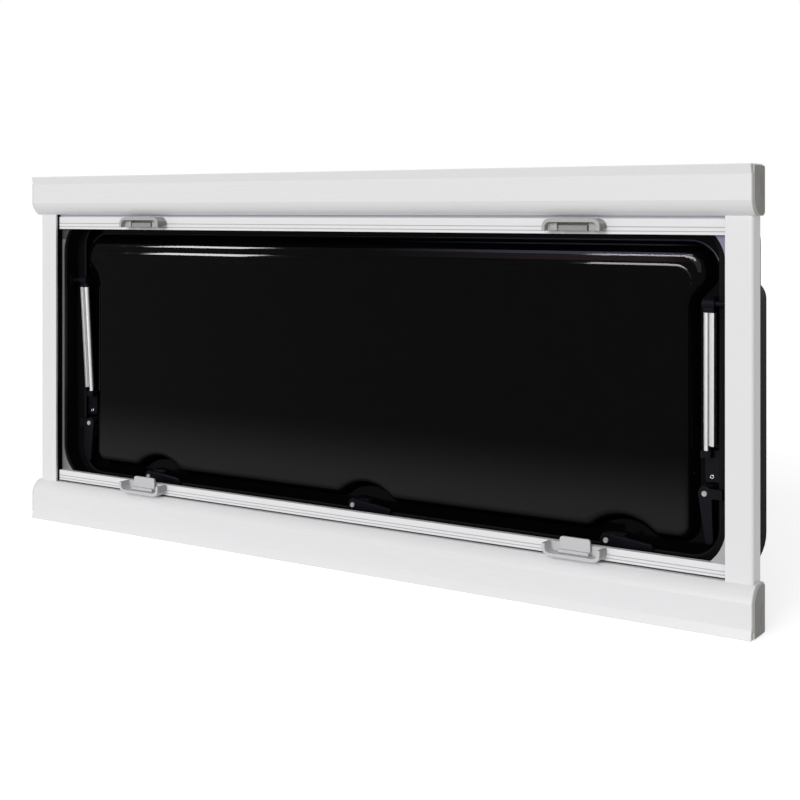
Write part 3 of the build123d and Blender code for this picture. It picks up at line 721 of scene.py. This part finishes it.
class WINDOW_OT_black_sash(Operator):
    """Acrylic panes with their ridges, coated outer frame and hinge, rubber seal and trim."""

    bl_idname = "window.black_sash"
    bl_label = "Black sash"

    def execute(self, context):
        finish, sizes = context.scene.window_finish, context.scene.window_fittings
        self.panes(finish, sizes)
        coat = moulded(
            "black_coating", finish.coat, rough=0.36, grain=1400, depth=0.00004, drift=0.15,
            specular=0.05,
        )
        tint(coat, finish.outdoors, OUTDOOR_SIDE)
        coat_nodes(coat, "outer_frame", "hinge_rail", "hinge_strip")
        rubber = moulded(
            "soft_rubber", finish.rubber, rough=0.62, grain=900, depth=0.00006, drift=0.15,
            specular=0.08,
        )
        coat_nodes(rubber, "seal")
        self.trim(sizes, rubber)
        return {"FINISHED"}

    def panes(self, finish, sizes):
        """Finishes of the two panes and of the ridges on the inner one."""
        inner = acrylic("polished_acrylic", finish.acrylic, finish.acrylic_shine)
        # Painted reflection: the pale floor's reflection is tinted into the lower raised field
        tint(inner, finish.haze_and_painted_reflection, *LOWER_FIELD_REFLECTION)
        # Painted reflections: brown and lilac streaks tinted on the field's shoulder and top,
        # fading in to the right
        tint(inner, finish.glow, BROWN_REFLECTION_STREAK, TO_THE_RIGHT, OUT_AT_CORNER)
        for streak in LILAC_REFLECTION_STREAKS:
            tint(inner, finish.sheen, streak, TO_THE_RIGHT, OUT_AT_CORNER)
        coat_nodes(inner, "inner_pane")
        outer = acrylic("outer_acrylic", finish.acrylic, finish.acrylic_shine)
        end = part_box("outer_pane")[1].x
        dull = Ramp("X", end - DOME_END_FROM, end - DOME_END_TO)
        overlay(outer, "Roughness", finish.dome_end, dull)
        coat_nodes(outer, "outer_pane")
        bead = acrylic("bead_acrylic", finish.acrylic, finish.bead_shine)
        # Painted reflection: the bead is tinted lilac towards the right
        tint(bead, finish.sheen, TO_THE_RIGHT)
        self.ridges(sizes, inner, bead)

    def ridges(self, sizes, pane, bead):
        """Bead on the flat edge round the raised field's top, and a low ridge along that top."""
        path = upper_path(half=0.5845, top=0.4455, radius=0.043, low=0.385)
        grid = ridge(path, sizes.bead_width, sizes.bead_rise, PANE_FLAT)
        surface("pane_bead", grid[None], bead, "acrylic_black", wrap_columns=True)
        path = upper_path(half=0.551, top=0.4065, radius=0.019, low=0.3875)
        grid = ridge(path, sizes.swage_width, sizes.swage_rise, PANE_CROWN)
        surface("pane_swage", grid[None], pane, "acrylic_black", wrap_columns=True)

    def trim(self, sizes, rubber):
        """Bead round the stop's edge: an ellipse carried along a rounded rectangle."""
        reach_x, reach_z, radius, depth, half_thick = 0.587, 0.220, 0.041, -0.004, 0.0014
        low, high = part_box("frame_rim")
        middle = (low.z + high.z) / 2
        bottom, top = middle - reach_z, middle + reach_z
        points, outward = rounded_ring(2 * reach_x, bottom, top, radius, depth)
        turn = circle(16)[None, :, None]
        side = np.cos(turn) * outward[:, None, :] * sizes.trim_half
        grid = points[:, None, :] + side + np.sin(turn) * half_thick * OUTDOORS
        surface("stop_trim", grid[None], rubber, "seal_rubber", wrap_rows=True, wrap_columns=True)


class WINDOW_OT_stays_and_latches(Operator):
    """Metal and black finishes on the stays and latches, with dished push buttons."""

    bl_idname = "window.stays_and_latches"
    bl_label = "Stays and latches"

    def execute(self, context):
        finish, sizes = context.scene.window_finish, context.scene.window_fittings
        silver = drawn_metal("anodised_silver", finish.anodised, rough=0.42, lines=2600)
        coat_nodes(silver, *both("stay_tube"))
        steel = drawn_metal("drawn_steel", finish.steel, rough=0.28, lines=2600)
        coat_nodes(steel, *both("stay_rod"))
        black = moulded(
            "black_fitting", finish.fitting, rough=0.38, grain=1300, depth=0.00006, drift=0.12,
            specular=0.07,
        )
        coat_nodes(black, *both("stay_head", "stay_frame_bracket", "stay_sash_bracket"))
        coat_nodes(black, "latch_bases", *(f"latch_lever_{name}" for name in LATCHES))
        grey = moulded(
            "button_plastic", finish.button, rough=0.42, grain=1500, depth=0.00005, drift=0.04
        )
        self.buttons(sizes, grey)
        return {"FINISHED"}

    def buttons(self, sizes, grey):
        """Push buttons: a turned profile with a round rim and a shallow dish, one in each hub."""
        low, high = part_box("latch_buttons")
        rise = high.y - low.y
        hubs = np.array([latch_hub(name) for name in LATCHES])
        places = np.stack([hubs[:, 0], np.full(len(hubs), high.y), hubs[:, 1]], -1)
        bend = quarter(6)
        radii = np.concatenate([
            (BUTTON_RADIUS,),
            BUTTON_RADIUS - BUTTON_EDGE + BUTTON_EDGE * np.cos(bend),
            BUTTON_RADIUS * np.array((0.62, 0.35)),
            (CLOSED_RADIUS,),
        ])
        heights = np.concatenate([
            (0,),
            rise - BUTTON_EDGE + BUTTON_EDGE * np.sin(bend),
            rise - sizes.button_dish * np.array((0.55, 0.95, 1)),
        ])
        grids = turned(places, radii, heights, sizes.turns)
        piece = surface("push_buttons", grids, grey, "button_grey", wrap_rows=True)
        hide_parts("latch_buttons")


class WINDOW_OT_screws(Operator):
    """Pan-head screws on the stays' sash brackets, with black discs in their sockets as painted
    shade.
    """

    bl_idname = "window.screws"
    bl_label = "Screws"

    def execute(self, context):
        finish, sizes = context.scene.window_finish, context.scene.window_fittings
        places = []
        for name in both("stay_sash_bracket"):
            low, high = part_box(name)
            places.append(((low.x + high.x) / 2, high.y - SCREW_INDOORS, low.z + SCREW_UP))
        self.heads(finish, sizes, places)
        self.recesses(finish, sizes, places)
        return {"FINISHED"}

    def heads(self, finish, sizes, places):
        """Heads: a turned quarter round from the rim to the flat top, then down into a socket."""
        steel = drawn_metal("screw_steel", finish.steel, rough=0.22, lines=1800)
        bend, flat = quarter(7), 0.74
        across = np.concatenate([flat + (1 - flat) * np.cos(bend), (0.56, 0.52, 0.2, 0.001)])
        up = np.concatenate([np.sin(bend), (0.98, 0.25, 0.05, 0.0)])
        radii, heights = sizes.screw_radius * across, sizes.screw_height * up
        grids = turned(places, radii, heights, sizes.turns)
        surface("stay_screws", grids, steel, "rod_steel", wrap_rows=True)

    def recesses(self, finish, sizes, places):
        """Black floors of the sockets, painted shade for the dark of the hollows: a turned profile,
        low and slightly domed.
        """
        black = moulded(
            "screw_recess", finish.fitting, rough=0.5, grain=1300, depth=0.00003, drift=0.12,
            specular=0.1,
        )
        radii = sizes.screw_radius * np.array((0.53, 0.5, 0.25, 0.001))
        heights = sizes.screw_height * np.array((0.3, 0.42, 0.38, 0.36))
        grids = turned(places, radii, heights, sizes.turns)
        surface("screw_recesses", grids, black, "fitting_black", wrap_rows=True)


class WINDOW_OT_cloths(Operator):
    """Strips of blind cloth and flyscreen that show between the cassettes and the bars."""

    bl_idname = "window.cloths"
    bl_label = "Cloths"

    def execute(self, context):
        finish, sizes = context.scene.window_finish, context.scene.window_fittings
        self.strip("blind", woven("blind_weave", finish.blind_cloth, pitch=0.0006), sizes)
        self.strip("screen", woven("screen_weave", finish.screen_mesh, pitch=0.0011), sizes)
        return {"FINISHED"}

    def strip(self, kind, material, sizes):
        """Flat strip from inside the cassette's slot to the bar: a grid in width and height."""
        low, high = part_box(f"{kind}_bar")
        if kind == "blind":
            bottom, top = high.z, high.z + sizes.cloth_show
        else:
            bottom, top = low.z - sizes.cloth_show, low.z
        half = high.x - CLOTH_EDGE
        width = np.linspace(-half, half, 60)
        rise = np.linspace(bottom, top, 5)
        depth = (low.y + high.y) / 2 - CLOTH_INDOORS
        grid = np.stack(np.broadcast_arrays(width[:, None], depth, rise[None, :]), -1)
        piece = surface(f"{kind}_strip", grid[None], material, "guide_black")


class WINDOW_OT_stage(Operator):
    """Pale floor, plain soft light and the camera at the photograph's viewing angle."""

    bl_idname = "window.stage"
    bl_label = "Stage"

    def execute(self, context):
        stage = context.scene.window_stage
        self.floor(stage)
        self.world(context, stage)
        self.lamps(context, stage)
        self.camera(context, stage)
        context.scene.view_settings.view_transform = "Standard"
        return {"FINISHED"}

    def seen_rays(self, tree):
        """One for camera, glossy and transmission rays, else zero."""
        path = tree.nodes.new("ShaderNodeLightPath")
        kinds = ("Is Camera Ray", "Is Glossy Ray", "Is Transmission Ray")
        return gather(tree, "MAXIMUM", [path.outputs[kind] for kind in kinds])

    def floor(self, stage):
        """Level floor at the object's lowest point: a flat grid of two parameters."""
        material, tree, shader = start_material("floor_pale")
        shader.inputs["Base Color"].default_value = (*stage.floor_colour, 1)
        shader.inputs["Roughness"].default_value = FLOOR_ROUGH
        shader.inputs["Specular IOR Level"].default_value = 0.0
        shader.inputs["Emission Color"].default_value = WHITE
        glow = calculate(tree, "MULTIPLY", self.seen_rays(tree), stage.floor_glow)
        tree.links.new(glow, shader.inputs["Emission Strength"])
        reach = np.linspace(-FLOOR_REACH, FLOOR_REACH, 3)
        level = cad_low.z - FLOOR_GAP
        grid = np.stack(np.broadcast_arrays(reach[:, None], reach[None, :], level), -1)
        piece = grid_object("floor", grid[None], material)

    def world(self, context, stage):
        """White sky for what the camera sees or sees reflected, and a plain level for the light."""
        world = bpy.data.worlds.new("plain_sky")
        world.use_nodes = True
        tree = world.node_tree
        tree.nodes.clear()
        either = tree.nodes.new("ShaderNodeMixShader")
        tree.links.new(self.seen_rays(tree), either.inputs["Fac"])
        for place, strength in ((1, stage.ambient), (2, 1.0)):
            sky = tree.nodes.new("ShaderNodeBackground")
            sky.inputs["Color"].default_value = WHITE
            sky.inputs["Strength"].default_value = strength
            tree.links.new(sky.outputs["Background"], either.inputs[place])
        output = tree.nodes.new("ShaderNodeOutputWorld")
        tree.links.new(either.outputs["Shader"], output.inputs["Surface"])
        context.scene.world = world

    def lamps(self, context, stage):
        """One broad key lamp from the front, above, and softboxes that light the panes alone."""
        sun = bpy.data.lights.new("key", "SUN")
        sun.energy = stage.sun
        sun.angle = stage.sun_spread
        lamp = bpy.data.objects.new("key", sun)
        lamp.rotation_euler = (stage.sun_tilt, 0, 0)
        context.scene.collection.objects.link(lamp)
        panes = bpy.data.collections.new("polished_panes")
        for name in ("inner_pane", "outer_pane"):
            panes.objects.link(NODES[name])
        for name in ("pane_bead", "pane_swage"):
            panes.objects.link(bpy.data.objects[name])
        for box in SOFTBOXES:
            lamp = self.softbox(context, box, stage.softbox * box.level)
            lamp.light_linking.receiver_collection = panes

    def softbox(self, context, box, brightness):
        """Rectangular lamp that faces a target; its power is pi times area times brightness."""
        data = bpy.data.lights.new(box.name, "AREA")
        data.shape = "RECTANGLE"
        data.size, data.size_y = box.size
        data.energy = math.pi * box.size[0] * box.size[1] * brightness
        lamp = bpy.data.objects.new(box.name, data)
        lamp.location = box.place
        way = Vector(box.target) - Vector(box.place)
        lamp.rotation_euler = way.to_track_quat("-Z", "Y").to_euler()
        lamp.visible_camera = False
        lamp.visible_diffuse = False
        context.scene.collection.objects.link(lamp)
        return lamp

    def camera(self, context, stage):
        """Level camera with a lowered lens, as the photograph was taken."""
        data = bpy.data.cameras.new("camera")
        data.sensor_fit = "HORIZONTAL"
        data.sensor_width = SENSOR_WIDTH
        data.lens = stage.camera_lens
        data.shift_y = stage.camera_drop
        camera = bpy.data.objects.new("camera", data)
        camera.location = stage.camera_place
        camera.rotation_euler = (math.pi / 2, 0, stage.camera_turn)
        context.scene.collection.objects.link(camera)
        context.scene.camera = camera


OPERATORS = (
    WINDOW_OT_white_sections,
    WINDOW_OT_grey_plastics,
    WINDOW_OT_black_sash,
    WINDOW_OT_stays_and_latches,
    WINDOW_OT_screws,
    WINDOW_OT_cloths,
    WINDOW_OT_stage,
)


class WINDOW_PT_dress(Panel):
    """Buttons that dress the window, in order."""

    bl_idname = "WINDOW_PT_dress"
    bl_label = "Caravan window"
    bl_space_type = "VIEW_3D"
    bl_region_type = "UI"
    bl_category = "Window"

    def draw(self, context):
        for operator in OPERATORS:
            self.layout.operator(operator.bl_idname)


GROUPS = {
    "window_finish": WindowFinish,
    "window_fittings": WindowFittings,
    "window_stage": WindowStage,
}


def register():
    for group in GROUPS.values():
        bpy.utils.register_class(group)
    for name, group in GROUPS.items():
        setattr(bpy.types.Scene, name, PointerProperty(type=group))
    for part in (*OPERATORS, WINDOW_PT_dress):
        bpy.utils.register_class(part)


def unregister():
    for part in reversed((*OPERATORS, WINDOW_PT_dress)):
        bpy.utils.unregister_class(part)
    for name in GROUPS:
        delattr(bpy.types.Scene, name)
    for group in reversed(list(GROUPS.values())):
        bpy.utils.unregister_class(group)


def main():
    register()
    for operator in OPERATORS:
        getattr(bpy.ops.window, operator.bl_idname.split(".")[1])()


if __name__ == "__main__":
    main()
